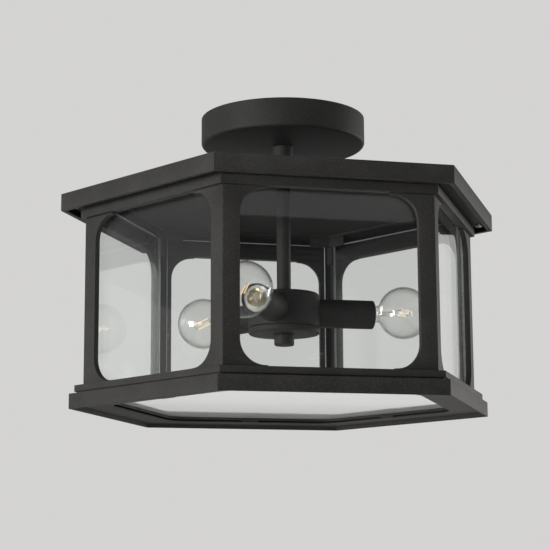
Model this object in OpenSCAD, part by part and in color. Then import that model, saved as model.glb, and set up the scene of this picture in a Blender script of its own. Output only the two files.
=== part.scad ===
// Six-sided porch ceiling lantern with three globe bulbs, hung close to the ceiling.
// Origin: centre of the ceiling face of the canopy. +Z is up. Corners lie at 0, 60, 120 degrees and so on.

/* [Ceiling canopy] */
// Diameter of the canopy cup
canopy_d = 162; // [150:1:180]
// Depth of the canopy below the ceiling
canopy_h = 28; // [24:1:34]
// Wall of the canopy cup
canopy_wall = 1.6; // [1.2:0.1:2.5]
// Radius of the canopy's lower edge
canopy_edge_r = 3.5; // [2:0.5:6]
// Spacing of the wide pair of outlet box slots
box_spacing_wide = 88.9; // [86:0.1:92]
// Spacing of the narrow pair of outlet box slots
box_spacing_narrow = 69.9; // [68:0.1:72]

/* [Stem] */
// Diameter of the neck between canopy and roof
neck_d = 19.8; // [17:0.2:24]
// Diameter of the stem inside the lantern
stem_d = 13.8; // [12.6:0.2:16]
// Diameter of the threaded nipples
nipple_d = 10; // [9.6:0.1:10.4]

/* [Roof] */
// Width of the roof across its flats
roof_af = 380; // [376:1:390]
// Height of the eave face
eave_h = 16.5; // [15:0.5:20]
// Height of the eave's upper edge below the ceiling
eave_drop = 86.8; // [84:0.2:90]
// Slope of the roof in degrees
roof_slope = 12; // [9:0.5:13]
// Thickness of the roof's skin
roof_skin = 1.6; // [1.2:0.1:2.2]
// Width of the lip turned in under the eave
eave_lip = 4.8; // [4:0.1:5.5]

/* [Cage] */
// Width of the cornice across its flats
cornice_af = 346.6; // [345:0.2:350]
// Height of the cornice face
cornice_h = 12.3; // [11.5:0.1:13]
// Height of the cornice's lower edge below the ceiling
cornice_drop = 109.8; // [109:0.1:111]
// Width of the posts across flats
post_af = 338.6; // [336:0.2:340]
// Width of a post's face on each side of its corner
post_face = 15.7; // [13:0.1:20]
// Thickness of the post plates
post_t = 5.5; // [5:0.1:6]
// Radius of the gussets at the ends of the posts
gusset_r = 23; // [16:0.5:27]
// Small step at the toe of each gusset
toe_step = 1.7; // [1:0.1:3]
// Clear height between cornice and ledge
post_h = 160.5; // [150:0.5:175]
// Width of the ledge across its flats
ledge_af = 353.2; // [350:0.2:356]
// Height of the ledge
ledge_h = 8; // [7:0.5:10]
// Width of the base band across its flats
base_af = 362; // [360:0.5:370]
// Height of the base band
base_h = 14.4; // [13:0.1:18]
// Clear width of the bottom opening across its flats
bottom_open_af = 292; // [280:1:296]
// Corner radius of the bottom opening
bottom_open_r = 27; // [20:1:32]

/* [Glass] */
// Thickness of the panes
glass_t = 3; // [2.5:0.1:3.2]
// Gap from a side pane's edge to the corner line
glass_edge_gap = 6; // [5:0.5:8]
// Width of the bottom pane across its flats
floor_glass_af = 311; // [304:0.5:312]

/* [Light cluster] */
// Diameter of the cluster body
drum_d = 69.8; // [64:0.2:76]
// Height of the cluster body with its cap
drum_h = 40.1; // [36:0.1:44]
// Height of the cluster body's top below the ceiling
drum_drop = 176.3; // [170:0.1:182]
// Height of the sockets' axes below the ceiling
light_drop = 194.3; // [193:0.1:196]
// Direction of the first socket in degrees
cluster_turn = -1.2; // [-3:0.1:3]
// Height of the cap under the cluster body
cap_h = 6.2; // [5:0.1:8]
// Diameter of the finial
finial_d = 19.6; // [17:0.2:24]
// Height of the finial
finial_h = 10.8; // [10:0.1:16]
// Diameter of the socket cups
cup_d = 28.3; // [27:0.1:30]
// Distance from the axis to the mouth of a socket cup
cup_reach = 89.6; // [86:0.2:94]

/* [Globe bulbs] */
// Diameter of a globe
globe_d = 52.4; // [48:0.2:54]
// Distance from the axis to a globe's centre
globe_reach = 122.2; // [121:0.2:126]
// Diameter of the candelabra screw base
base_screw_d = 11.9; // [11.6:0.1:12]
// Upward tilt of a bulb in its holder in degrees
bulb_tilt = 4; // [0:0.5:4]

/* [Hidden] */
$fn = 96;

black = "#1e1d1c";
steel = "#b9bab8";
brass = "#c2a04c";
clear = [0.82, 0.9, 0.9, 0.3];

// Half widths, from the axis to a flat
roof_a = roof_af / 2;
cornice_a = cornice_af / 2;
post_a = post_af / 2;
post_in_a = post_a - post_t;
ledge_a = ledge_af / 2;
base_a = base_af / 2;
open_a = bottom_open_af / 2;
pane_gap = 0.3;
pane_a = post_in_a - pane_gap;             // outer face of the side panes
pane_in_a = pane_a - glass_t;

// Heights, measured down from the ceiling as negative numbers
eave_top = -eave_drop;
eave_bottom = eave_top - eave_h;
cornice_bottom = -cornice_drop;
flange_bottom = cornice_bottom + cornice_h;
flange_t = 1.5;
flange_top = flange_bottom + flange_t;
ledge_top = cornice_bottom - post_h;
ledge_bottom = ledge_top - ledge_h;
base_bottom = ledge_bottom - base_h;

// Roof: a hipped cap whose skin rises from the eave to a flat boss under the neck
rise = tan(roof_slope);
boss_a = 16;
roof_top = eave_top + (roof_a - boss_a) * rise;
skin_drop = roof_skin / cos(roof_slope);
boss_depth = 3;
stem_top = roof_top - skin_drop - boss_depth;
rib_a = 159.9;                              // outer face of the rib that the glass keepers hang from
rib_t = 2.4;
rib_bottom = eave_top + 2.8;
frame_screw_at = 205.5;
frame_boss_r = 5;
frame_hole_r = 1.95;
frame_shank_r = 1.9;
frame_screw_l = 9;
frame_head_r = 3.6;
frame_head_h = 2.4;
head_round = 1;                             // edge radii of the screw heads, outside and at the seat
head_seat = 0.25;
corner_clip_a = 209.5;                      // clipped corners of the cornice's outward flange

// Cornice: a bar in line with the posts, a thin wall above it and an outward flange
bar_h = 6.3;
bar_in_a = post_in_a + 0.5;
wall_in_a = cornice_a - 2.4;
flange_a = roof_a - eave_lip - 0.7;

// Side panes
pane_top = flange_top + 3.3;
pane_bottom = ledge_bottom + 3.1;
pane_w = 2 * ((pane_a - glass_t / 2) * tan(30) - glass_edge_gap);
keeper_t = 1.3;
keeper_arm = 22;
keeper_bottom = pane_top - 1.8;
keeper_a = pane_in_a - pane_gap;
lug_w = 6.4;
lug_bottom = cornice_bottom - 3.2;
lug_reach = 3.9;

// Base: a channel with an inward flange, whose upturned rim carries the bottom pane.
// A long slot runs along the foot of the rim; the rim stands on four bridges across it.
base_sheet = 1.2;
skirt_t = 2.2;
shelf_in_a = 157;
recess = 4;
base_flange_low = base_bottom + recess;
rim_h = 4.8;
slot_h = 2.3;
slot_bite = 1;                              // how far the slot cuts into the flange
bridge_w = 17;
bridge_at = [30, 90, 210, 270];
floor_glass_bottom = base_flange_low + rim_h;

// Cluster
drum_r = drum_d / 2;
drum_top = -drum_drop;
drum_bottom = drum_top - drum_h;
cap_gap = 0.5;
body_bottom = drum_bottom + cap_h + cap_gap;
drum_wall = 2.2;
drum_roof = 3;
drum_round = 3.5;
drum_lip = 0.6;
cap_round = 2.2;
cap_floor = 3;
cap_wall = 2;
spigot_h = 4;
spigot_clear = 0.4;
light_z = -light_drop;
cup_r = cup_d / 2;
cup_wall = 1.2;
cup_floor = 2;
cup_root = 6;                               // depth of the socket parts inside the cluster body
finial_bottom = drum_bottom - finial_h;
finial_gap = 0.3;
finial_round = 1.6;
finial_shoulder = 0.8;
finial_bore = 8;
nipple_r = nipple_d / 2;
nipple_wall = 1.4;
nipple_clear = 0.15;
nipple_grip = 14;                           // length of nipple beyond the face it passes through
nipple_end = 7;                             // length of nipple that the finial screws on
nut_r = 8.6;
nut_h = 3.2;

// Mounting strap
strap_l = 118;
strap_w = 22;
strap_t = 2.5;
slot_l = 8;
slot_r = 2.2;
ground_x = 18;
ground_shank_r = 1.7;
ground_screw_l = 7;
ground_head_r = 3.8;
ground_head_h = 2.2;

// Lampholder and bulb, along the socket's axis from the lantern's axis outwards
wire_hole_r = 4.1;
holder_start = drum_r + 16;
holder_end = cup_reach - 2.5;
holder_r = 9.6;
holder_rim = 4;
holder_screw_r = 4;
holder_wire_r = 2.4;
base_screw_r = base_screw_d / 2;
bulb_tip = holder_end - 16.1;
contact_r = 2.2;
contact_h = 1.2;
insulator_r = 4.4;
insulator_h = 2;
barrel_start = bulb_tip + contact_h + insulator_h;
bulb_pivot = (barrel_start + holder_end) / 2; // the bulb tilts about the middle of its screwed-in barrel
shell_start = bulb_tip - 1.7;
shell_t = 0.5;
shell_in_r = base_screw_r + 0.75;           // room for the tilted barrel
collar_low = holder_end + 1;
glass_foot = collar_low + 1.6;
globe_r = globe_d / 2;
globe_wall = 0.8;
neck_r = 8.2;
fuse = 0.2;                                 // overlap of solids that make one piece

// Two filament sticks side by side, leaning across the bulb's axis
mount_r = 2.6;
mount_top = globe_reach - 12.6;
lead_r = 0.35;
stick_r = 0.6;
stick_l = 18;
stick_lean = 43;
stick_offset = 2.6;
filament_twist = [90, 50, 0];               // each bulb stops at its own angle when screwed in

// ---------- shared shapes ----------

// Hexagonal plate outline with half width a; its corners lie on the rays at 0, 60, 120 degrees
module hexagon(a) { circle(r = a / cos(30), $fn = 6); }

// Hexagonal ring from half width a_in to a_out, between two heights
module hex_ring(a_out, a_in, z_low, z_high) {
    translate([0, 0, z_low]) linear_extrude(z_high - z_low)
        difference() { hexagon(a_out); hexagon(a_in); }
}

// Hexagon with round corners, drawn with true arcs
module round_hexagon(a, r) {
    centre = (a - r) / cos(30);
    intersection() { hexagon(a); rotate(30) hexagon(centre + r * cos(30)); }
    for (k = [0:5]) rotate(60 * k) translate([centre, 0]) circle(r = r);
}

// Hipped block: a hexagonal pyramid cut flat at half width a_top
module hipped_block(a_low, a_top, z_low) {
    translate([0, 0, z_low])
        cylinder(h = (a_low - a_top) * rise, r1 = a_low / cos(30), r2 = a_top / cos(30), $fn = 6);
}

// Round tube along Z
module tube(r_out, r_in, z_low, z_high) {
    difference() {
        translate([0, 0, z_low]) cylinder(r = r_out, h = z_high - z_low);
        translate([0, 0, z_low - 1]) cylinder(r = r_in, h = z_high - z_low + 2);
    }
}

// Children drawn along +Z are laid along +X at the height of the sockets, then turned to socket k
module at_socket(k) {
    rotate([0, 0, 120 * (k - 1) + cluster_turn]) translate([0, 0, light_z]) rotate([0, 90, 0]) children();
}

// The same for the bulb in socket k, tilted upwards in its holder
module at_bulb(k) {
    at_socket(k) translate([0, 0, bulb_pivot]) rotate([0, -bulb_tilt, 0]) translate([0, 0, -bulb_pivot]) children();
}

// Round rod between two points
module rod(p, q, r) {
    d = q - p;
    translate(p) rotate([0, acos(d[2] / norm(d)), atan2(d[1], d[0])]) cylinder(r = r, h = norm(d), $fn = 24);
}

// Solid of revolution along Z with rounded outer edges
module round_disc(r, h, r_low, r_high) {
    rotate_extrude() {
        translate([0, r_low]) square([r, h - r_low - r_high]);
        square([r - r_low, h]);
        translate([r - r_low, r_low]) circle(r = r_low, $fn = 48);
        translate([0, h - r_high]) square([r - r_high, r_high]);
        translate([r - r_high, h - r_high]) circle(r = r_high, $fn = 48);
    }
}

// ---------- ceiling parts ----------

module canopy() {
    color(black) difference() {
        translate([0, 0, -canopy_h]) rotate_extrude() canopy_outline(canopy_d / 2, canopy_edge_r, 0);
        translate([0, 0, -canopy_h]) rotate_extrude()
            canopy_outline(canopy_d / 2 - canopy_wall, canopy_edge_r - canopy_wall, canopy_wall);
        translate([0, 0, -canopy_h - 1]) cylinder(r = nipple_r + nipple_clear, h = 10);
    }
}

// Half section of a cup: rounded below, open above
module canopy_outline(r, edge, floor_h) {
    top = canopy_h + (floor_h > 0 ? 1 : 0);
    translate([0, floor_h]) square([r - edge, top - floor_h]);
    translate([0, floor_h + edge]) square([r, top - floor_h - edge]);
    translate([r - edge, floor_h + edge]) circle(r = edge, $fn = 64);
}

// Slot along X for an outlet box screw
module strap_slot(x) {
    for (side = [-1, 1]) translate([x + side * (slot_l / 2 - slot_r), 0]) circle(r = slot_r);
    translate([x - slot_l / 2 + slot_r, -slot_r]) square([slot_l - 2 * slot_r, 2 * slot_r]);
}

module mounting_strap() {
    color(steel) translate([0, 0, -strap_t]) linear_extrude(strap_t) difference() {
        union() {
            square([strap_l - strap_w, strap_w], center = true);
            for (side = [-1, 1]) translate([side * (strap_l - strap_w) / 2, 0]) circle(r = strap_w / 2);
        }
        circle(r = nipple_r + nipple_clear);
        for (side = [-1, 1]) {
            strap_slot(side * box_spacing_wide / 2);
            strap_slot(side * box_spacing_narrow / 2);
        }
        translate([ground_x, 0]) circle(r = ground_shank_r + 0.05);
    }
}

module ground_screw() {
    color("#3f7a45") translate([ground_x, 0, 0]) {
        translate([0, 0, -strap_t - ground_screw_l]) cylinder(r = ground_shank_r, h = strap_t + ground_screw_l);
        translate([0, 0, -strap_t - ground_head_h]) round_disc(ground_head_r, ground_head_h, head_round, head_seat);
    }
}

module upper_nipple() {
    color(steel) tube(nipple_r, nipple_r - nipple_wall, stem_top - nipple_grip, -0.2);
}

// Hexagonal nut round a nipple, its lower face at z
module lock_nut(z) {
    translate([0, 0, z]) linear_extrude(nut_h) difference() {
        circle(r = nut_r, $fn = 6);
        circle(r = nipple_r + nipple_clear / 2);
    }
}

module lock_nuts() {
    color(steel) {
        lock_nut(-strap_t - nut_h);
        lock_nut(drum_top - drum_roof - nut_h);
    }
}

module neck() {
    color(black) tube(neck_d / 2, nipple_r + nipple_clear, roof_top, -canopy_h);
}

module stem() {
    color(black) tube(stem_d / 2, nipple_r + nipple_clear, drum_top, stem_top);
}

// ---------- roof ----------

module roof() {
    color(black) difference() {
        union() {
            roof_shell();
            hex_ring(rib_a, rib_a - rib_t, rib_bottom, rib_bottom + 2.8);
            intersection() {
                for (k = [0:5]) rotate([0, 0, 60 * k]) translate([frame_screw_at, 0, flange_top])
                    rotate([0, 0, 75]) cylinder(r = frame_boss_r, h = eave_h);
                roof_block(skin_drop / 2);
            }
            translate([0, 0, stem_top]) cylinder(r = boss_a - 1, h = boss_depth + 1);
        }
        for (k = [0:5]) rotate([0, 0, 60 * k]) translate([frame_screw_at, 0, flange_top - 1])
            cylinder(r = frame_hole_r, h = frame_screw_l + 0.5);
        translate([0, 0, stem_top - 1]) cylinder(r = nipple_r + nipple_clear, h = 12);
    }
}

// Solid hipped block on upright sides, its slope lowered by drop from the roof's outer face
module roof_block(drop) {
    hipped_block(roof_a, boss_a, eave_top - drop);
    translate([0, 0, eave_bottom]) linear_extrude(eave_h - drop) hexagon(roof_a);
}

module roof_shell() {
    difference() {
        roof_block(0);
        intersection() {
            roof_block(skin_drop);
            translate([0, 0, eave_bottom + roof_skin]) linear_extrude(roof_a) hexagon(roof_a - roof_skin);
        }
        translate([0, 0, eave_bottom - 1]) linear_extrude(roof_skin + 2) hexagon(roof_a - eave_lip);
    }
}

// ---------- cage ----------

module top_frame() {
    color(black) difference() {
        union() {
            hex_ring(cornice_a, bar_in_a, cornice_bottom, cornice_bottom + bar_h);
            hex_ring(cornice_a, wall_in_a, cornice_bottom, flange_top);
            translate([0, 0, flange_bottom]) linear_extrude(flange_t) difference() {
                intersection() { hexagon(flange_a); rotate(30) hexagon(corner_clip_a); }
                hexagon(wall_in_a);
            }
        }
        for (k = [0:5]) rotate([0, 0, 60 * k]) translate([frame_screw_at, 0, flange_bottom - 1])
            cylinder(r = frame_shank_r + 0.3, h = flange_t + 2);
    }
}

// Pan-headed screws that hold the cage up to the roof's bosses
module frame_screws() {
    color(steel) for (k = [0:5]) rotate([0, 0, 60 * k]) translate([frame_screw_at, 0, 0]) {
        translate([0, 0, flange_bottom]) cylinder(r = frame_shank_r, h = frame_screw_l);
        translate([0, 0, flange_bottom - frame_head_h]) round_disc(frame_head_r, frame_head_h, head_round, head_seat);
    }
}

// Bent tabs that hang from the roof's rib and hold the panes outwards at each corner
module glass_keepers() {
    color(black) for (k = [0:5]) rotate([0, 0, 60 * k])
        translate([0, 0, keeper_bottom]) linear_extrude(rib_bottom - keeper_bottom)
            corner_angle(keeper_a, keeper_t, keeper_arm);
}

// Outline of a 120 degree angle at the corner on +X: outer half width a, plate t, arm length along the face
module corner_angle(a, t, arm) {
    tip = a / cos(30);
    tip_in = (a - t) / cos(30);
    along = [-sin(30), cos(30)];
    inward = [-cos(30), -sin(30)];
    end_out = [tip, 0] + arm * along;
    end_in = end_out + t * inward;
    polygon([[tip, 0], end_out, end_in, [tip_in, 0], [end_in[0], -end_in[1]], [end_out[0], -end_out[1]]]);
}

// Blocks on the inner corners of the posts, between the edges of two panes
module corner_lugs() {
    tip = post_in_a / cos(30);
    color(black) for (k = [0:5]) rotate([0, 0, 60 * k])
        translate([0, 0, lug_bottom]) linear_extrude(pane_top - lug_bottom)
            polygon([[tip, 0], [tip - lug_w / 2 * tan(30), lug_w / 2], [tip - lug_reach, lug_w / 2],
                     [tip - lug_reach, -lug_w / 2], [tip - lug_w / 2 * tan(30), -lug_w / 2]]);
}

// Window between two posts, drawn flat and centred, with round corners inside the gussets
module window_outline() {
    half = post_a * tan(30) - post_face;
    low = ledge_top + toe_step;
    high = cornice_bottom - toe_step;
    translate([-half, low + gusset_r]) square([2 * half, high - low - 2 * gusset_r]);
    translate([-half + gusset_r, low]) square([2 * (half - gusset_r), high - low]);
    for (side = [-1, 1]) for (z = [low + gusset_r, high - gusset_r])
        translate([side * (half - gusset_r), z]) circle(r = gusset_r);
}

// Corner post: a bent plate whose two faces flare into gussets at both ends
module post(k) {
    arm = post_face + gusset_r + 2;
    color(black) rotate([0, 0, 60 * (k - 1)]) difference() {
        translate([0, 0, ledge_top]) linear_extrude(post_h) corner_angle(post_a, post_t, arm);
        for (side = [-1, 1]) rotate([0, 0, 30 * side]) translate([post_in_a - 10, 0, 0])
            rotate([90, 0, 90]) linear_extrude(post_t + 20) window_outline();
    }
}

module side_glass(k) {
    color(clear) rotate([0, 0, 60 * (k - 1) + 30])
        translate([pane_in_a, -pane_w / 2, pane_bottom]) cube([glass_t, pane_w, pane_top - pane_bottom]);
}

// Ledge with a rebate that the side panes stand in
module ledge_ring() {
    color(black) {
        hex_ring(ledge_a, post_in_a, ledge_bottom, ledge_top);
        hex_ring(post_in_a + 1, shelf_in_a, ledge_bottom, pane_bottom);
    }
}

module base_ring() {
    color(black) difference() {
        union() {
            hex_ring(base_a, shelf_in_a, ledge_bottom - base_sheet, ledge_bottom);
            hex_ring(base_a, base_a - skirt_t, base_bottom, ledge_bottom);
            translate([0, 0, base_flange_low]) linear_extrude(base_sheet) difference() {
                hexagon(base_a - skirt_t / 2);
                round_hexagon(open_a, bottom_open_r);
            }
            translate([0, 0, base_flange_low]) linear_extrude(rim_h) opening_band(0, base_sheet);
        }
        translate([0, 0, base_flange_low - 1]) linear_extrude(slot_h + 1) difference() {
            opening_band(-1, base_sheet + slot_bite);
            for (a = bridge_at) rotate(a) translate([open_a - 5, -bridge_w / 2]) square([10, bridge_w]);
        }
    }
}

// Band that follows the bottom opening between two distances outside its edge
module opening_band(inner, outer) {
    difference() {
        round_hexagon(open_a + outer, bottom_open_r + outer);
        round_hexagon(open_a + inner, bottom_open_r + inner);
    }
}

module bottom_glass() {
    color(clear) translate([0, 0, floor_glass_bottom]) linear_extrude(glass_t) hexagon(floor_glass_af / 2);
}

// ---------- light cluster ----------

module cluster_body() {
    color(black) difference() {
        translate([0, 0, body_bottom]) round_disc(drum_r, drum_top - body_bottom, drum_lip, drum_round);
        translate([0, 0, body_bottom - 1]) cylinder(r = drum_r - drum_wall, h = drum_top - drum_roof - body_bottom + 1);
        translate([0, 0, drum_top - 10]) cylinder(r = nipple_r + nipple_clear, h = 20);
        for (k = [1:3]) at_socket(k) translate([0, 0, drum_r - 10]) cylinder(r = wire_hole_r, h = 20);
    }
}

module lower_nipple() {
    color(steel) tube(nipple_r, nipple_r - nipple_wall, drum_bottom - nipple_end, drum_top + nipple_grip);
}

module cluster_cap() {
    spigot_r = drum_r - drum_wall - spigot_clear;
    color(black) difference() {
        union() {
            translate([0, 0, drum_bottom]) round_disc(drum_r, cap_h, cap_round, drum_lip);
            translate([0, 0, drum_bottom + cap_h - 1]) cylinder(r = spigot_r, h = spigot_h + 1);
        }
        translate([0, 0, drum_bottom + cap_floor]) cylinder(r = spigot_r - cap_wall, h = 10);
        translate([0, 0, drum_bottom - 1]) cylinder(r = nipple_r + nipple_clear, h = 20);
    }
}

module finial() {
    color(black) difference() {
        translate([0, 0, finial_bottom])
            round_disc(finial_d / 2, finial_h - finial_gap, finial_round, finial_shoulder);
        translate([0, 0, drum_bottom - finial_bore]) cylinder(r = nipple_r + 2 * nipple_clear, h = finial_bore + 1);
    }
}

module socket_cup(k) {
    color(black) difference() {
        at_socket(k) difference() {
            translate([0, 0, drum_r - cup_root]) cylinder(r = cup_r, h = cup_reach - drum_r + cup_root);
            translate([0, 0, drum_r + cup_floor]) cylinder(r = cup_r - cup_wall, h = cup_reach);
            translate([0, 0, drum_r - cup_root - 1]) cylinder(r = wire_hole_r, h = cup_root + 14);
        }
        translate([0, 0, drum_bottom]) cylinder(r = drum_r, h = drum_h);
    }
}

// Insulating holder with a collar that bears on the cup and a hollow screw into the cluster body
module lampholder(k) {
    color("#d9d5c8") at_socket(k) difference() {
        union() {
            translate([0, 0, holder_start]) cylinder(r = holder_r, h = holder_end - holder_start);
            translate([0, 0, holder_end - holder_rim]) cylinder(r = cup_r - cup_wall - 0.1, h = holder_rim);
            translate([0, 0, drum_r - cup_root]) cylinder(r = holder_screw_r, h = holder_start - drum_r + cup_root + 1);
        }
        translate([0, 0, shell_start - 1]) cylinder(r = shell_in_r + shell_t, h = holder_end);
        translate([0, 0, drum_r - cup_root - 1]) cylinder(r = holder_wire_r, h = cup_root + 8);
    }
}

// Threaded brass liner with the centre contact's disc at its foot
module screw_shell(k) {
    color(brass) at_socket(k) difference() {
        translate([0, 0, shell_start - 1]) cylinder(r = shell_in_r + shell_t, h = holder_end - shell_start);
        translate([0, 0, shell_start]) cylinder(r = shell_in_r, h = holder_end);
    }
}

// ---------- bulbs ----------

// Half section of the glass envelope, grown inwards by the wall
module envelope_outline(inset) {
    foot = glass_foot - (inset > 0 ? 1 : 0);
    intersection() {
        union() {
            translate([0, globe_reach]) circle(r = globe_r - inset);
            translate([0, foot]) square([neck_r - inset, globe_reach - foot - globe_r / 2]);
        }
        translate([0, foot]) square([globe_d, globe_reach + globe_d]);
    }
}

module bulb_globe(k) {
    color(clear) at_bulb(k) rotate_extrude($fn = 128) difference() {
        envelope_outline(0);
        envelope_outline(globe_wall);
    }
}

// Candelabra base: collar that holds the glass, screw barrel and centre contact
module bulb_base(k) {
    color("#c9cac6") at_bulb(k) {
        translate([0, 0, collar_low]) cylinder(r = neck_r + 0.3, h = glass_foot - collar_low);
        translate([0, 0, barrel_start]) cylinder(r = base_screw_r, h = collar_low - barrel_start + fuse);
        translate([0, 0, bulb_tip + contact_h]) cylinder(r = insulator_r, h = insulator_h + fuse);
        translate([0, 0, bulb_tip]) cylinder(r = contact_r, h = contact_h + fuse);
    }
}

// Glass mount whose two leads hold a pair of filament sticks, joined by a short rod at their far ends
module bulb_filament(k) {
    half = stick_l / 2 * [sin(stick_lean), 0, cos(stick_lean)];
    color("#d8d2c4") at_bulb(k) rotate([0, 0, filament_twist[k - 1]]) {
        translate([0, 0, glass_foot]) cylinder(r = mount_r, h = mount_top - glass_foot);
        for (side = [-1, 1]) {
            middle = [0, side * stick_offset, globe_reach + side * stick_offset];
            rod([0, side * mount_r / 2, mount_top - 1], middle - half, lead_r);
            rod(middle - half, middle + half, stick_r);
        }
        rod([0, -stick_offset, globe_reach - stick_offset] + half, [0, stick_offset, globe_reach + stick_offset] + half, lead_r);
    }
}

canopy();
mounting_strap();
ground_screw();
upper_nipple();
lock_nuts();
neck();
roof();
stem();
top_frame();
frame_screws();
glass_keepers();
corner_lugs();
for (k = [1:6]) post(k);
for (k = [1:6]) side_glass(k);
ledge_ring();
base_ring();
bottom_glass();
cluster_body();
lower_nipple();
cluster_cap();
finial();
for (k = [1:3]) socket_cup(k);
for (k = [1:3]) lampholder(k);
for (k = [1:3]) screw_shell(k);
for (k = [1:3]) bulb_globe(k);
for (k = [1:3]) bulb_base(k);
for (k = [1:3]) bulb_filament(k);
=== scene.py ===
import math

import bmesh
import bpy
from mathutils import Matrix, Vector


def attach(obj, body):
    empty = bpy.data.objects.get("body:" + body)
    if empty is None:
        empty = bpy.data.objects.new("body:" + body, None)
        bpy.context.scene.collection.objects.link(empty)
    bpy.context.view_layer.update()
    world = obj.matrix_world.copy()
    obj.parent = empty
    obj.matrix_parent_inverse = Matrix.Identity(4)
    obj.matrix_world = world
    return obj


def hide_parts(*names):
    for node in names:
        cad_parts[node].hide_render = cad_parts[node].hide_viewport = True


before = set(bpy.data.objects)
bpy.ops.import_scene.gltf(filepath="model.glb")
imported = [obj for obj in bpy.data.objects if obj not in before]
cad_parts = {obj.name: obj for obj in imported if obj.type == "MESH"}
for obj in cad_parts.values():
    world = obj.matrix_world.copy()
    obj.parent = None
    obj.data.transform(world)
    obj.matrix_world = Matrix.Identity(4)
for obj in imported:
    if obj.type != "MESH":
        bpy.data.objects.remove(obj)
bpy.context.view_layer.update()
scene = bpy.context.scene
print("frame loaded,", len(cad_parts), "nodes")


def mm(*values):  # millimetres to metres
    return Vector(values) * 0.001


# camera at the photograph's viewing angle: below the lantern, looking up at it
cameraSet = {
    "place": (-0.3894, -1.5352, -0.4477),
    "heading": 13.92,
    "pitch": 10.40,
    "roll": -0.323,
    "lens": 107.35,
}


def makeCamera():
    data = bpy.data.cameras.new("viewCamera")
    data.lens, data.sensor_width = cameraSet["lens"], 36
    camera = bpy.data.objects.new("viewCamera", data)
    scene.collection.objects.link(camera)
    heading, pitch, roll = (math.radians(cameraSet[k]) for k in ("heading", "pitch", "roll"))
    ahead = Vector((math.sin(heading) * math.cos(pitch), math.cos(heading) * math.cos(pitch), math.sin(pitch)))
    level = Vector((math.cos(heading), -math.sin(heading), 0))
    right = level * math.cos(roll) + level.cross(ahead) * math.sin(roll)
    turn = Matrix((right, right.cross(ahead), -ahead)).transposed().to_4x4()
    camera.matrix_world = Matrix.Translation(cameraSet["place"]) @ turn
    scene.camera = camera


makeCamera()
print("camera set")


# shader maths

class Flow:  # one output of a shader node; arithmetic on it adds Math nodes
    def __init__(self, shader, socket):
        self.shader, self.socket = shader, socket

    def math(self, operation, *values):
        return self.shader.node("ShaderNodeMath", {"operation": operation}, dict(enumerate(values)))

    def __add__(self, other):
        return self.math("ADD", self, other)

    def __sub__(self, other):
        return self.math("SUBTRACT", self, other)

    def __rsub__(self, other):
        return self.math("SUBTRACT", other, self)

    def __mul__(self, other):
        return self.math("MULTIPLY", self, other)

    def __pow__(self, other):
        return self.math("POWER", self, other)

    __radd__, __rmul__ = __add__, __mul__

    def within(self, low, high):  # 0 below low, 1 above high, smooth between
        return self.shader.node("ShaderNodeMapRange", {"interpolation_type": "SMOOTHSTEP"},
                                {0: self, 1: low, 2: high})


class Shader:  # a material or world and its node tree
    def __init__(self, owner):
        self.owner = owner
        owner.use_nodes = True
        self.tree = owner.node_tree
        self.tree.nodes.clear()
        self.place = self.node("ShaderNodeTexCoord", output="Object")

    def node(self, kind, settings=None, sockets=None, output=0):
        made = self.tree.nodes.new(kind)
        for name, value in (settings or {}).items():
            setattr(made, name, value)
        for name, value in (sockets or {}).items():
            if isinstance(value, Flow):
                self.tree.links.new(value.socket, made.inputs[name])
            else:
                made.inputs[name].default_value = value
        return Flow(self, made.outputs[output]) if made.outputs else None

    def noise(self, scale, detail=2.0, rough=0.5, stretch=None):
        place = self.place
        if stretch:
            place = self.node("ShaderNodeMapping", {}, {"Vector": place, "Scale": stretch})
        return self.node("ShaderNodeTexNoise", {}, {"Vector": place, "Scale": scale, "Detail": detail,
                                                    "Roughness": rough})

    def mix(self, factor, first, second):  # two colours, each a link or three numbers
        colours = [c if isinstance(c, Flow) else (*c, 1) for c in (first, second)]
        return self.node("ShaderNodeMix", {"data_type": "RGBA"}, {0: factor, 6: colours[0], 7: colours[1]}, output=2)

    def blend(self, factor, first, second):  # two shaders
        return self.node("ShaderNodeMixShader", {}, {0: factor, 1: first, 2: second})

    def bump(self, height, strength, distance, over=None):
        sockets = {"Height": height, "Strength": strength, "Distance": distance}
        if over:
            sockets["Normal"] = over
        return self.node("ShaderNodeBump", {}, sockets)

    def surface(self, **sockets):
        named = {k.replace("_", " "): v for k, v in sockets.items()}
        for k, v in named.items():
            if isinstance(v, tuple):
                named[k] = (*v, 1)
        return self.node("ShaderNodeBsdfPrincipled", {}, named)

    def finish(self, shader, kind="Material"):
        self.node("ShaderNodeOutput" + kind, {}, {"Surface": shader})
        return self.owner


def newMaterial(name):
    return Shader(bpy.data.materials.new(name))


# finishes

coatSet = {
    "deep": (0.0190, 0.0184, 0.0175),
    "worn": (0.0360, 0.0350, 0.0335),
    # the steel canopy's coat tones, darker than the cage's as painted shade for the ceiling above it
    "steelDeepPaintedShade": (0.0150, 0.0146, 0.0140),
    "steelWornPaintedShade": (0.0270, 0.0264, 0.0254),
    "dust": (0.070, 0.068, 0.064),
    "grain": 820,  # fine texture of the powder, per metre
    "peel": 280,  # slower waves of the coat, per metre
    "cloud": 24,  # broad unevenness, per metre
    "grainBump": (0.38, 0.0004),  # strength and depth in metres
    "peelBump": (0.12, 0.0008),
    "dustShare": 0.35,
    "roughness": 0.62,
    "gloss": 0.2,
}


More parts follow.
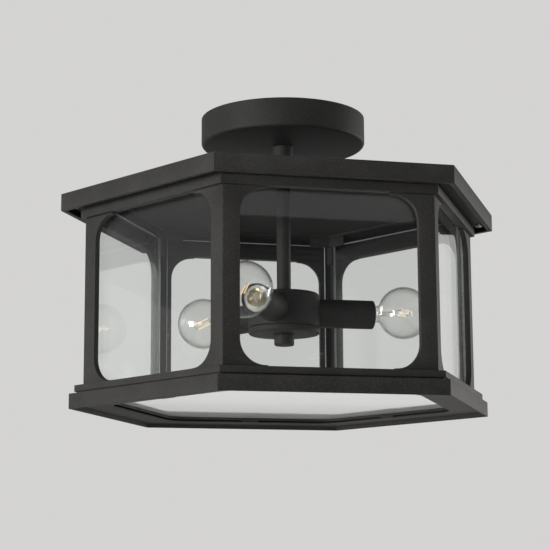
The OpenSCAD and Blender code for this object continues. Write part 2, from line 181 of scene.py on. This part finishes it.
def blackCoat(name, deep, worn):  # fine-textured black powder coat
    s = newMaterial(name)
    grain, peel = s.noise(coatSet["grain"], 2, 0.6), s.noise(coatSet["peel"], 1.5)
    cloud = s.noise(coatSet["cloud"], 4, 0.6)
    colour = s.mix((grain * 0.65 + cloud * 0.35).within(0.38, 0.66), deep, worn)
    facing = s.node("ShaderNodeTexCoord", output="Normal")
    upward = s.node("ShaderNodeSeparateXYZ", {}, {0: facing}, output=2)
    dusty = upward.within(0.75, 0.99) * cloud.within(0.35, 0.75) * coatSet["dustShare"]
    colour = s.mix(dusty, colour, coatSet["dust"])
    rough = (grain - 0.5) * 0.16 + (cloud - 0.5) * 0.14 + dusty * 0.3 + coatSet["roughness"]
    normal = s.bump(peel, *coatSet["peelBump"], s.bump(grain, *coatSet["grainBump"]))
    return s.finish(s.surface(Base_Color=colour, Roughness=rough, Normal=normal,
                              Specular_IOR_Level=coatSet["gloss"]))


metalSets = {
    "zinc": {"low": (0.42, 0.43, 0.43), "high": (0.62, 0.62, 0.60),
             "roughness": 0.36, "stretch": (1, 1, 0.12), "scale": 900},
    "green": {"low": (0.02, 0.11, 0.035), "high": (0.04, 0.19, 0.06),
              "roughness": 0.38, "stretch": (1, 1, 1), "scale": 700},
    "brass": {"low": (0.52, 0.34, 0.11), "high": (0.78, 0.56, 0.22),
              "roughness": 0.28, "stretch": (0.2, 1, 1), "scale": 900},
    "nickel": {"low": (0.46, 0.37, 0.24), "high": (0.80, 0.71, 0.54),
               "roughness": 0.24, "stretch": (1, 1, 1), "scale": 600},
    "lead": {"low": (0.10, 0.095, 0.09), "high": (0.22, 0.21, 0.20),
             "roughness": 0.35, "stretch": (1, 1, 1), "scale": 900},
}


def metal(name):  # plated or drawn metal with fine drawing marks and a little tarnish
    values = metalSets[name]
    s = newMaterial(name + "Metal")
    marks, tarnish = s.noise(values["scale"], 3, 0.6, values["stretch"]), s.noise(60, 4, 0.6)
    colour = s.mix((marks * 0.4 + tarnish * 0.6).within(0.3, 0.7), values["low"], values["high"])
    rough = (marks - 0.5) * 0.2 + (0.5 - tarnish) * 0.2 + values["roughness"]
    return s.finish(s.surface(Base_Color=colour, Roughness=rough, Metallic=1.0, Normal=s.bump(marks, 0.08, 0.0001)))


def ware(name, low, high, roughness):  # moulded or fired insulating ware
    s = newMaterial(name)
    speck, flow = s.noise(1100, 2), s.noise(90, 3)
    colour = s.mix((speck * 0.3 + flow * 0.7).within(0.3, 0.7), low, high)
    return s.finish(s.surface(Base_Color=colour, Roughness=(flow - 0.5) * 0.2 + roughness, Coat_Weight=0.2,
                              Normal=s.bump(speck, 0.06, 0.0001)))


glassSet = {
    "least": 0.042,  # mirror share when looked at squarely
    "most": 0.95,
    "tint": (0.985, 0.992, 0.988, 1),
    "mirror": (0.96, 0.97, 0.97),
    "haze": (0.55, 0.55, 0.53),
    "hazeShare": (0.006, 0.001),  # in the streaks, everywhere
    "milk": (0.92, 0.925, 0.915),
    "milkRoughness": 0.35,
}


# float glass that mirrors more towards grazing sight; milk is the etched share
def paneGlass(name, bend, etch, milk=0.0):
    s = newMaterial(name)
    facing = s.node("ShaderNodeLayerWeight", {}, {"Blend": 0.5}, output="Facing")
    film = s.node("ShaderNodeBsdfTransparent", {}, {"Color": glassSet["tint"]})
    ripple = s.bump(s.noise(9, 1), 0.05, 0.0006)
    mirror = s.surface(Base_Color=glassSet["mirror"], Metallic=1.0, Roughness=etch, Normal=ripple)
    clear = s.blend(facing ** bend * glassSet["most"] + glassSet["least"], film, mirror)
    haze = s.surface(Base_Color=glassSet["haze"], Roughness=0.9)
    streaky, plain = glassSet["hazeShare"]
    streaks = s.noise(14, 5, 0.65, (1, 1, 0.35)).within(0.52, 0.86) * streaky
    if milk:
        through = s.node("ShaderNodeBsdfTranslucent", {}, {"Color": (*glassSet["milk"], 1)})
        face = s.surface(Base_Color=glassSet["milk"], Roughness=glassSet["milkRoughness"])
        clear = s.blend(milk, clear, s.blend(0.5, through, face))
    return s.finish(s.blend(streaks + plain, clear, haze))


def paneEdge():  # seamed edge of a pane, where the glass looks pale green-grey
    s = newMaterial("groundPaneEdge")
    film = s.node("ShaderNodeBsdfTransparent", {}, {"Color": (0.80, 0.86, 0.84, 1)})
    chips = s.noise(700, 3)
    body = s.surface(Base_Color=s.mix(chips, (0.42, 0.45, 0.44), (0.76, 0.79, 0.78)),
                     Roughness=(chips - 0.5) * 0.2 + 0.3, Normal=s.bump(chips, 0.2, 0.0001))
    return s.finish(s.blend(chips.within(0.2, 0.9) * 0.25 + 0.55, film, body))


blownSet = {
    "middle": (0.985, 0.985, 0.98, 1),
    "rim": (0.45, 0.46, 0.46, 1),
    "rimShare": (3.2, 0.85),  # power, most
    "mirrorShare": (5, 0.8, 0.05),  # power, most, least
}


def bulbGlass():  # blown glass: clear in the middle, grey where the wall is seen on edge
    s = newMaterial("blownBulbGlass")
    facing = s.node("ShaderNodeLayerWeight", {}, {"Blend": 0.5}, output="Facing")
    clearFilm = s.node("ShaderNodeBsdfTransparent", {}, {"Color": blownSet["middle"]})
    rimFilm = s.node("ShaderNodeBsdfTransparent", {}, {"Color": blownSet["rim"]})
    power, most = blownSet["rimShare"]
    film = s.blend(facing ** power * most, clearFilm, rimFilm)
    ripple = s.bump(s.noise(70, 2), 0.12, 0.0008)
    mirror = s.surface(Base_Color=(0.95, 0.95, 0.95), Metallic=1.0, Roughness=0.035, Normal=ripple)
    power, most, least = blownSet["mirrorShare"]
    return s.finish(s.blend(facing ** power * most + least, film, mirror))


def glowing():  # filament stick with a warm coating that glows dimly
    s = newMaterial("warmStick")
    colour = s.mix(s.noise(400, 1), (1.0, 0.62, 0.30), (1.0, 0.80, 0.55))
    return s.finish(s.surface(Base_Color=(0.8, 0.5, 0.2), Roughness=0.5, Emission_Color=colour,
                              Emission_Strength=0.75))


looks = {
    "coat": blackCoat("blackTextureCoat", coatSet["deep"], coatSet["worn"]),
    # the canopy's steel coat: its darker tones are painted shade from the ceiling
    "steelCoat": blackCoat("blackSteelCoatPaintedShade", coatSet["steelDeepPaintedShade"], coatSet["steelWornPaintedShade"]),
    "zinc": metal("zinc"),
    "green": metal("green"),
    "brass": metal("brass"),
    "nickel": metal("nickel"),
    "lead": metal("lead"),
    "holder": ware("ivoryHolder", (0.84, 0.82, 0.78), (0.93, 0.92, 0.89), 0.34),
    "vitrite": ware("darkInsulator", (0.008, 0.008, 0.010), (0.022, 0.020, 0.024), 0.12),
    "pane": paneGlass("clearPaneGlass", 5, 0.02),
    "floorPane": paneGlass("etchedFloorGlass", 1.3, 0.05, 0.4),
    "paneEdge": paneEdge(),
    "bulb": bulbGlass(),
    "glow": glowing(),
}
print("finishes made,", len(looks))


# mesh helpers

def keepPiece(name, bm, look, body, nodes, edge=0.0, sharp=35):
    mesh = bpy.data.meshes.new(name)
    bm.to_mesh(mesh)
    bm.free()
    for each in look if isinstance(look, (list, tuple)) else [look]:
        mesh.materials.append(looks[each])
    mesh.shade_smooth()
    piece = bpy.data.objects.new(name, mesh)
    scene.collection.objects.link(piece)
    if edge:  # edges eased as a coated or moulded part's are
        ease = piece.modifiers.new("easedEdges", "BEVEL")
        ease.width, ease.segments, ease.limit_method = edge * 0.001, 3, "ANGLE"
        ease.angle_limit, ease.harden_normals = math.radians(sharp), True
    else:
        mesh.set_sharp_from_angle(angle=math.radians(sharp))
    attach(piece, body)
    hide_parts(*nodes)


def turned(profile, steps=96, closed=True):  # profile: (radius, height[, corner radius]) in mm, turned about Z
    bm = bmesh.new()
    ring = [bm.verts.new(mm(p[0], 0, p[1])) for p in profile]
    for pair in zip(ring, ring[1:] + (ring[:1] if closed else [])):
        bm.edges.new(pair)
    for vert, p in zip(ring, profile):
        if len(p) > 2:
            bmesh.ops.bevel(bm, geom=[vert], offset=p[2] * 0.001, affect="VERTICES",
                            segments=6 if p[2] > 1 else 3, profile=0.5, material=-1)
    bmesh.ops.spin(bm, geom=bm.verts[:] + bm.edges[:], cent=(0, 0, 0), axis=(0, 0, 1), angle=math.tau,
                   steps=steps, use_merge=True)
    bmesh.ops.remove_doubles(bm, verts=bm.verts, dist=1e-7)
    bmesh.ops.recalc_face_normals(bm, faces=bm.faces)
    return bm


def threaded(root, crest, pitch, low, high, steps=32):  # one continuous ridge wound about Z, in mm
    bm = bmesh.new()
    ridge = ((root, 0, low), (crest, 0, low + pitch * 0.4), (crest, 0, low + pitch * 0.6), (root, 0, low + pitch))
    ring = [bm.verts.new(mm(*p)) for p in ridge]
    edges = [bm.edges.new(pair) for pair in zip(ring, ring[1:] + ring[:1])]
    turns = int((high - low) / pitch - 1)
    bmesh.ops.spin(bm, geom=ring + edges, cent=(0, 0, 0), axis=(0, 0, 1), dvec=(0, 0, pitch * 0.001 / steps),
                   angle=math.tau * turns, steps=steps * turns)
    bmesh.ops.holes_fill(bm, edges=bm.edges, sides=4)
    bmesh.ops.recalc_face_normals(bm, faces=bm.faces)
    return bm


def joined(first, *others, material=None):  # adds the other meshes to the first
    for k, other in enumerate(others):
        if material:
            for face in other.faces:
                face.material_index = material[k]
        spare = bpy.data.meshes.new("spare")
        other.to_mesh(spare)
        other.free()
        first.from_mesh(spare)
        bpy.data.meshes.remove(spare)
    return first


def moved(bm, matrix):
    bmesh.ops.transform(bm, matrix=matrix, verts=bm.verts)
    return bm


def carved(bm, *cutters):  # the first mesh with the closed cutters taken out
    objects = []
    for k, each in enumerate((bm, *cutters)):
        mesh = bpy.data.meshes.new("carving")
        each.to_mesh(mesh)
        each.free()
        objects.append(bpy.data.objects.new(f"carving{k}", mesh))
        scene.collection.objects.link(objects[-1])
    for cutter in objects[1:]:
        cut = objects[0].modifiers.new("cut", "BOOLEAN")
        cut.operation, cut.object, cut.solver = "DIFFERENCE", cutter, "EXACT"
    made = bpy.data.meshes.new_from_object(objects[0].evaluated_get(bpy.context.evaluated_depsgraph_get()))
    result = bmesh.new()
    result.from_mesh(made)
    bpy.data.meshes.remove(made)
    for each in objects:
        bpy.data.meshes.remove(each.data)
    return result


def block(size, place):  # box by its size and middle, in mm
    bm = bmesh.new()
    bmesh.ops.create_cube(bm, size=1)
    return moved(bm, Matrix.Translation(mm(*place)) @ Matrix.Diagonal((*mm(*size), 1)))


def wire(points, radius, steps=8):  # round wire through points in mm
    curve = bpy.data.curves.new("wire", "CURVE")
    curve.dimensions, curve.bevel_depth, curve.bevel_resolution = "3D", radius * 0.001, max(0, steps // 4 - 1)
    curve.use_fill_caps = True
    spline = curve.splines.new("POLY")
    spline.points.add(len(points) - 1)
    for point, at in zip(spline.points, points):
        point.co = (*mm(*at), 1)
    holder = bpy.data.objects.new("wire", curve)
    mesh = bpy.data.meshes.new_from_object(holder)
    bm = bmesh.new()
    bm.from_mesh(mesh)
    bpy.data.meshes.remove(mesh)
    bpy.data.objects.remove(holder)
    bpy.data.curves.remove(curve)
    return bm


def hexBand(inner, outer, low, high):  # hexagonal band between two half widths and two heights, in mm
    corner = math.cos(math.pi / 6)
    return turned([(inner / corner, low), (outer / corner, low), (outer / corner, high), (inner / corner, high)], 6)


def dressed(node, look, edge, seam=None):  # the CAD node's own shape with eased edges
    bm = bmesh.new()
    bm.from_mesh(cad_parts[node].data)
    bmesh.ops.remove_doubles(bm, verts=bm.verts, dist=2e-6)
    bmesh.ops.dissolve_limit(bm, angle_limit=math.radians(0.4), verts=bm.verts, edges=bm.edges)
    if seam:  # a shadow line along a joint with the next part
        bm = carved(bm, hexBand(*seam))
    keepPiece(node + ".eased", bm, look, "root", [node], edge)


# roof, cage and base

easedSet = {  # node: look, slot, width of the eased edges in mm
    "roof": ("coat", "black_cage", 0.3),
    "top_frame": ("coat", "black_cage", 0.3),
    "glass_keepers": ("coat", "black_cage", 0.25),
    "corner_lugs": ("coat", "black_cage", 0.4),
    "ledge_ring": ("coat", "black_cage", 0.35),
    "base_ring": ("coat", "black_cage", 0.35),
    "mounting_strap": ("zinc", "zinc_steel", 0.35),
    "lock_nuts": ("zinc", "zinc_steel", 0.5),
    **{f"post_{k}": ("coat", "black_cage", 0.6) for k in range(1, 7)},
}


seamSet = {  # half widths and heights of the shadow groove: the ledge's foot, the top of the cornice
    "ledge_ring": (174.6, 178, -279, -276.5),
    "top_frame": (171.4, 175, -101.9, -97.6),
}


def makeCage():
    for node, (look, slot, edge) in easedSet.items():
        dressed(node, look, edge, seam=seamSet.get(node))


makeCage()
print("roof, cage, base and strap eased")


# turned black parts

turnedSet = {  # name: node it replaces, look, eased edge, profile
    # the canopy takes the darker steel coat, which is painted shade for the ceiling that shades it
    "canopyCup": ("canopy", "steelCoat", 0.3,
                  [(81, 0), (81, -28, 3.5), (5.15, -28), (5.15, -26.4), (79.4, -26.4, 1.9), (79.4, 0)]),
    "neckTube": ("neck", "coat", 0.3, [(9.9, -28), (9.9, -49.8), (5.15, -49.8), (5.15, -28)]),
    "stemTube": ("stem", "coat", 0.2, [(6.9, -54.45), (6.9, -176.3), (5.15, -176.3), (5.15, -54.45)]),
    "clusterDrum": ("cluster_body", "coat", 0.3,
                    [(5.15, -176.3), (34.9, -176.3, 3.5), (34.9, -209.7, 0.5), (32.7, -209.7), (32.7, -179.3),
                     (5.15, -179.3)]),
    "clusterCap": ("cluster_cap", "coat", 0.3,
                   [(5.15, -216.4), (34.9, -216.4, 2.2), (34.9, -210.2, 0.6), (32.3, -210.2), (32.3, -206.2),
                    (30.3, -206.2), (30.3, -213.4), (5.15, -213.4)]),
}
finialSet = {
    "profile": [(0, -227.2), (9.8, -227.2, 1.6), (9.8, -216.7, 0.8), (5.3, -216.7), (5.3, -224.4), (0, -224.4)],
    "edge": 0.25,
}


def makeTurned():
    for name, (node, look, edge, profile) in turnedSet.items():
        keepPiece(name, turned(profile, 160), look, "root", [node], edge)
    finial = turned(finialSet["profile"], 96, False)
    keepPiece("finialKnob", finial, "coat", "finial", ["finial"], finialSet["edge"])


makeTurned()
print("canopy, stem and cluster turned")


# threaded tubes and screws

nippleSet = {
    "upper": {"node": "upper_nipple", "low": -68.4, "high": -0.2},
    "lower": {"node": "lower_nipple", "low": -223.4, "high": -162.3},
    "root": 4.55, "crest": 5.0, "bore": 3.6, "pitch": 1.0,
}


def makeNipples():
    for name in ("upper", "lower"):
        values = nippleSet[name]
        low, high = values["low"], values["high"]
        core = turned([(nippleSet["bore"], low), (nippleSet["root"], low), (nippleSet["root"], high),
                       (nippleSet["bore"], high)], 32)
        ridge = threaded(nippleSet["root"] - 0.02, nippleSet["crest"], nippleSet["pitch"], low + 0.2, high - 0.2,
                         24)
        keepPiece(name + "Nipple", joined(core, ridge), "zinc", "root", [values["node"]])


screwSet = {
    "reach": 205.5, "under": -97.5, "head": 3.6, "depth": 2.4, "shank": 1.9, "up": 9.0,
    "recess": ((3.4, 0.75, 2.4), (0.75, 3.4, 2.4)),
    "turn": (0.5, 0.9),  # first screw's turn and the step to the next, in radians
}
groundSet = {
    "place": (18, 0, 0),
    "head": [(0, -4.7), (2.9, -4.7), (3.8, -3.8), (3.8, -2.5), (1.7, -2.5), (1.7, 0), (0, 0)],
    "shank": [(0, -9.5), (1.7, -9.5, 0.3), (1.7, -2.0), (0, -2.0)],
}


def makeScrews():
    under, head, depth = screwSet["under"], screwSet["head"], screwSet["depth"]
    screw = turned([(0, under - depth), (head - 1.2, under - depth + 0.05), (head, under - depth + 1.3, 0.5),
                    (head, under), (screwSet["shank"], under), (screwSet["shank"], under + screwSet["up"]),
                    (0, under + screwSet["up"])], 48, False)
    cross = [block(size, (0, 0, under - depth)) for size in screwSet["recess"]]
    screw = carved(screw, *cross)
    every = bmesh.new()
    first, further = screwSet["turn"]
    for k in range(6):
        one = screw.copy()
        moved(one, Matrix.Rotation(math.radians(60 * k), 4, "Z") @ Matrix.Translation(mm(screwSet["reach"], 0, 0))
              @ Matrix.Rotation(first + further * k, 4, "Z"))
        joined(every, one)
    screw.free()
    keepPiece("cageScrews", every, "zinc", "root", ["frame_screws"], sharp=28)
    ground = joined(turned(groundSet["head"], 6, False), turned(groundSet["shank"], 32, False))
    keepPiece("groundScrew", moved(ground, Matrix.Translation(mm(*groundSet["place"]))), "green", "root",
              ["ground_screw"], sharp=25)


makeNipples()
makeScrews()
print("threads and screws made")


# panes

paneSet = {"inner": 160.5, "outer": 163.5, "low": -275.2, "high": -92.7, "width": 175.06, "ease": 0.35,
           "floorAcross": 155.5, "floorLow": -283.9, "floorHigh": -280.9}


def seamedPane(bm, across):  # clear faces across the given axis, ground edges all round
    for face in bm.faces:
        face.material_index = 0 if abs(face.normal[across]) > 0.5 else 1
    rim = [e for e in bm.edges if any(f.material_index == 0 for f in e.link_faces)]
    bmesh.ops.bevel(bm, geom=rim, offset=paneSet["ease"] * 0.001, affect="EDGES", segments=1, profile=0.5,
                    material=1)
    return bm


def makePanes():
    middle = (paneSet["inner"] + paneSet["outer"]) / 2
    for k in range(6):
        bm = block((paneSet["outer"] - paneSet["inner"], paneSet["width"], paneSet["high"] - paneSet["low"]),
                   (middle, 0, (paneSet["high"] + paneSet["low"]) / 2))
        moved(seamedPane(bm, 0), Matrix.Rotation(math.radians(30 + 60 * k), 4, "Z"))
        keepPiece(f"sidePane_{k + 1}", bm, ["pane", "paneEdge"], "root", [f"side_glass_{k + 1}"],
                  sharp=20)
    bm = bmesh.new()
    corner = paneSet["floorAcross"] * 0.001 / math.cos(math.pi / 6)
    bmesh.ops.create_circle(bm, cap_ends=True, radius=corner, segments=6)
    moved(bm, Matrix.Translation(mm(0, 0, paneSet["floorLow"])) @ Matrix.Rotation(math.radians(30), 4, "Z"))
    upper = bmesh.ops.extrude_face_region(bm, geom=bm.faces[:])["geom"]
    raised = [v for v in upper if isinstance(v, bmesh.types.BMVert)]
    bmesh.ops.translate(bm, verts=raised, vec=mm(0, 0, paneSet["floorHigh"] - paneSet["floorLow"]))
    bmesh.ops.recalc_face_normals(bm, faces=bm.faces)
    keepPiece("floorPane", seamedPane(bm, 2), ["floorPane", "paneEdge"], "floor_pane", ["bottom_glass"],
              sharp=20)


makePanes()
print("panes cut")


# sockets and bulbs; heights in these profiles run outwards along a socket

socketSet = {
    "height": -194.3, "turn": -1.2, "steps": 112,
    "cup": [(4.1, 31.2), (14.15, 31.2), (14.15, 89.6, 0.55), (12.95, 89.6, 0.3), (12.95, 36.9), (4.1, 36.9)],
    "holder": [(0, 28.9), (4, 28.9), (4, 50.9), (9.6, 50.9, 0.5), (9.6, 83.1, 0.3), (12.85, 83.1, 0.3),
               (12.85, 87.1, 0.6), (10.4, 87.1, 0.2), (10.1, 86.6, 0.2), (9.3, 86.6, 0.2), (9.0, 87.1, 0.2),
               (7.2, 87.1, 0.4), (7.2, 68.3), (0, 68.3)],
    "contact": [(0, 68.4), (7.1, 68.4), (7.1, 69.2), (2.6, 69.2), (2.4, 70.0, 0.3), (0, 70.0)],
    "liner": [(6.95, 68.8), (7.2, 68.8), (7.2, 86.1), (6.95, 86.1)],
    "thread": (7.0, 6.7, 2.54, 70.2, 86.1),  # root, crest, pitch, low, high
}
bulbSet = {
    "centre": 122.2, "radius": 26.2, "wall": 0.8, "neck": 8.2, "foot": 89.7, "tilt": 4, "pivot": 80.65,
    "shoulder": 1.9,  # where the neck runs into the sphere, outside the neck
    "barrel": [(0, 74.4), (5.2, 74.4, 0.4), (5.35, 75.8), (5.35, 86.7), (6.4, 88.1), (8.45, 88.1, 0.3),
               (8.5, 89.7), (7.4, 89.7), (7.4, 89.1), (0, 89.1)],
    "thread": (5.3, 5.95, 2.54, 74.7, 87.3),
    "insulator": [(0, 71.9), (2.6, 71.9), (4.4, 73.0, 0.4), (5.0, 74.5), (0, 74.5)],
    "tip": [(0, 71.0), (1.5, 71.2, 0.5), (2.2, 72.1), (0, 72.2)],
}


def outwards(bm, k):  # lays a mesh made along +Z along socket k
    return moved(bm, Matrix.Rotation(math.radians(120 * k + socketSet["turn"]), 4, "Z")
                 @ Matrix.Translation(mm(0, 0, socketSet["height"])) @ Matrix.Rotation(math.radians(90), 4, "Y"))


def seated(bm, k):  # the same for a bulb, tilted up about the middle of its screwed-in barrel
    pivot = mm(0, 0, bulbSet["pivot"])
    return outwards(moved(bm, Matrix.Translation(pivot) @ Matrix.Rotation(math.radians(-bulbSet["tilt"]), 4, "Y")
                          @ Matrix.Translation(-pivot)), k)


def makeSocket(k):
    cup = turned(socketSet["cup"], socketSet["steps"])
    keepPiece(f"socketCup_{k + 1}", outwards(cup, k), "coat", "root", [f"socket_cup_{k + 1}"])
    holder = turned(socketSet["holder"], socketSet["steps"], False)
    keepPiece(f"holder_{k + 1}", outwards(holder, k), "holder", "root", [f"lampholder_{k + 1}"])
    shell = joined(turned(socketSet["contact"], 48, False), turned(socketSet["liner"], 64),
                   threaded(*socketSet["thread"], 48))
    keepPiece(f"screwLiner_{k + 1}", outwards(shell, k), "brass", "root", [f"screw_shell_{k + 1}"])


def globeOutline(inset):  # half outline of the blown globe: neck, soft shoulder, sphere
    radius, neck = bulbSet["radius"] - inset, bulbSet["neck"] - inset
    start = math.asin((bulbSet["neck"] + bulbSet["shoulder"]) / bulbSet["radius"])
    points = [(neck, bulbSet["foot"]), (neck, 94.6 + inset * 0.6), (neck + 0.5, 96.2 + inset * 0.7)]
    for step in range(31):
        angle = start + (math.pi - start) * step / 30
        points.append((radius * math.sin(angle), bulbSet["centre"] - radius * math.cos(angle)))
    points[-1] = (0, bulbSet["centre"] + radius)
    return points


stickSet = {
    "radius": 0.6, "half": (6.14, 0, 6.58), "offset": 2.6, "lead": 0.22, "twist": (90, 50, 0),
    "flare": [(0, 90.1), (6.6, 90.1), (6.0, 91.3), (3.0, 96.1), (2.3, 101.0), (2.3, 105.0), (0, 106.0)],
    "press": [(0, 103), (2.6, 104.5, 0.8), (2.6, 108.8, 0.8), (0, 109.6)],
    "flatness": 0.45,
}


def makeMount(k):  # glass foot with a flattened press, two lead wires and the pair of filament sticks
    flare = turned(stickSet["flare"], 48, False)
    press = moved(turned(stickSet["press"], 32, False), Matrix.Diagonal((stickSet["flatness"], 1, 1, 1)))
    half, offset = Vector(stickSet["half"]), stickSet["offset"]
    leads, sticks, farEnds = [], [], []
    for side in (-1, 1):
        middle = Vector((0, side * offset, bulbSet["centre"] + side * offset))
        near, far = middle - half, middle + half
        bend = near * 0.75 + Vector((0, side * 0.5, 27.4))
        leads.append(wire([(0, side * 1.1, 97), (0, side * 1.3, 109.4), bend, near], stickSet["lead"]))
        radius, reach = stickSet["radius"], half.length
        stick = turned([(0, -reach), (radius, -reach, 0.25), (radius, reach, 0.25), (0, reach)], 24, False)
        lean = Vector((0, 0, 1)).rotation_difference(half).to_matrix().to_4x4()
        sticks.append(moved(stick, Matrix.Translation(middle * 0.001) @ lean))
        farEnds.append(far)
    bow = farEnds[0] * 0.5 + farEnds[1] * 0.5 + Vector((0.4, 0, 0.6))
    leads.append(wire([farEnds[0], bow, farEnds[1]], stickSet["lead"]))
    mount = joined(flare, press, *leads, *sticks, material=[0, 1, 1, 1, 2, 2])
    turn = Matrix.Rotation(math.radians(stickSet["twist"][k]), 4, "Z")
    keepPiece(f"bulbMount_{k + 1}", seated(moved(mount, turn), k), ["bulb", "lead", "glow"], f"bulb_{k + 1}",
              [f"bulb_filament_{k + 1}"], sharp=50)


def makeBulb(k):
    body = f"bulb_{k + 1}"
    outer, inner = globeOutline(0), globeOutline(bulbSet["wall"])
    glass = turned(outer + inner[::-1], socketSet["steps"], True)
    keepPiece(f"bulbGlobe_{k + 1}", seated(glass, k), "bulb", body, [f"bulb_globe_{k + 1}"],
              sharp=60)
    barrel = turned(bulbSet["barrel"], 96, False)
    ridge = threaded(*bulbSet["thread"], 48)
    cone, tip = turned(bulbSet["insulator"], 64, False), turned(bulbSet["tip"], 48, False)
    base = joined(barrel, ridge, cone, tip, material=[0, 1, 2])
    keepPiece(f"bulbBase_{k + 1}", seated(base, k), ["nickel", "vitrite", "lead"], body, [f"bulb_base_{k + 1}"])
    makeMount(k)


for k in range(3):
    makeSocket(k)
    makeBulb(k)
print("sockets and bulbs made")


# studio: pale floor and surroundings, soft light; none of it is part of the object

studioSet = {
    "surround": (0.66, 0.655, 0.65),
    "ahead": (0.045, 0.045, 0.047),
    "behind": (0.68, 0.675, 0.66),
    "floorHeight": -1.7,
    "plaster": ((0.60, 0.595, 0.585), (0.66, 0.655, 0.645)),
}
cardSet = {  # name: middle, size, shade; seen in reflections, and the ceiling one also as soft light
    "ceilingCard": ((0, -0.21, 0.004), (5, 1.12, 0), 0.38),
    "wallCard": ((0.75, 3.0, -0.85), (3.0, 0, 0.5), 0.95),
}


def makeStudio():
    world = bpy.data.worlds.new("studio")
    scene.world = world
    s = Shader(world)
    seen = s.node("ShaderNodeLightPath", output="Is Camera Ray")
    depth, height = (s.node("ShaderNodeSeparateXYZ", {}, {0: s.node("ShaderNodeTexCoord", output="Generated")},
                            output=k) for k in (1, 2))
    light = s.mix(depth.within(-0.2, 0.3) * height.within(-0.45, -0.22), studioSet["ahead"], studioSet["behind"])
    colour = s.mix(seen, light, studioSet["surround"])
    s.finish(s.node("ShaderNodeBackground", {}, {"Color": colour}), "World")
    floor = bmesh.new()
    bmesh.ops.create_grid(floor, x_segments=1, y_segments=1, size=4)
    moved(floor, Matrix.Translation((0, 0, studioSet["floorHeight"])))
    mesh = bpy.data.meshes.new("paleFloor")
    floor.to_mesh(mesh)
    floor.free()
    ground = bpy.data.objects.new("paleFloor", mesh)
    scene.collection.objects.link(ground)
    s = newMaterial("palePlaster")
    mottled = s.mix(s.noise(3, 4), *studioSet["plaster"])
    mesh.materials.append(s.finish(s.surface(Base_Color=mottled, Roughness=0.9)))
    for name, (middle, size, shade) in cardSet.items():
        card = bmesh.new()
        bmesh.ops.create_cube(card, size=1)
        thick = (max(v, 0.002) for v in size)
        moved(card, Matrix.Translation(middle) @ Matrix.Diagonal((*thick, 1)))
        mesh = bpy.data.meshes.new(name)
        card.to_mesh(mesh)
        card.free()
        holder = bpy.data.objects.new(name, mesh)
        scene.collection.objects.link(holder)
        s = newMaterial(name)
        lit = s.node("ShaderNodeEmission", {}, {"Color": (shade, shade, shade, 1), "Strength": 1.0})
        mesh.materials.append(s.finish(lit))
        holder.visible_camera = holder.visible_shadow = holder.visible_transmission = False
        holder.visible_diffuse = name == "ceilingCard"


lightSet = {  # name: place, aimed at, width and height, power, colour
    "rightSoftBox": ((2.7, 0.8, -0.2), (0, 0, -0.15), (1.1, 1.1), 30, (1.0, 0.98, 0.96)),
    "rightFill": ((2.7, -1.2, -0.4), (0, 0, -0.15), (1.4, 1.2), 16, (1.0, 0.98, 0.96)),
    "leftSoftBox": ((-2.6, -1.1, -0.4), (0, 0, -0.15), (1.6, 1.2), 86, (1.0, 1.0, 1.0)),
    "frontFill": ((-1.5, -2.8, -0.7), (0, 0, -0.15), (1.2, 0.9), 12, (1.0, 0.99, 0.98)),
}


def makeLights():
    for name, (place, target, size, power, colour) in lightSet.items():
        data = bpy.data.lights.new(name, "AREA")
        data.shape, (data.size, data.size_y), data.energy, data.color = "RECTANGLE", size, power, colour
        lamp = bpy.data.objects.new(name, data)
        scene.collection.objects.link(lamp)
        lamp.location = place
        lamp.rotation_euler = (Vector(target) - Vector(place)).to_track_quat("-Z", "Y").to_euler()
        lamp.visible_camera = False


makeStudio()
makeLights()
scene.view_settings.view_transform = "Standard"
scene.cycles.transparent_max_bounces = 32
scene.cycles.use_denoising = True
print("studio lit")
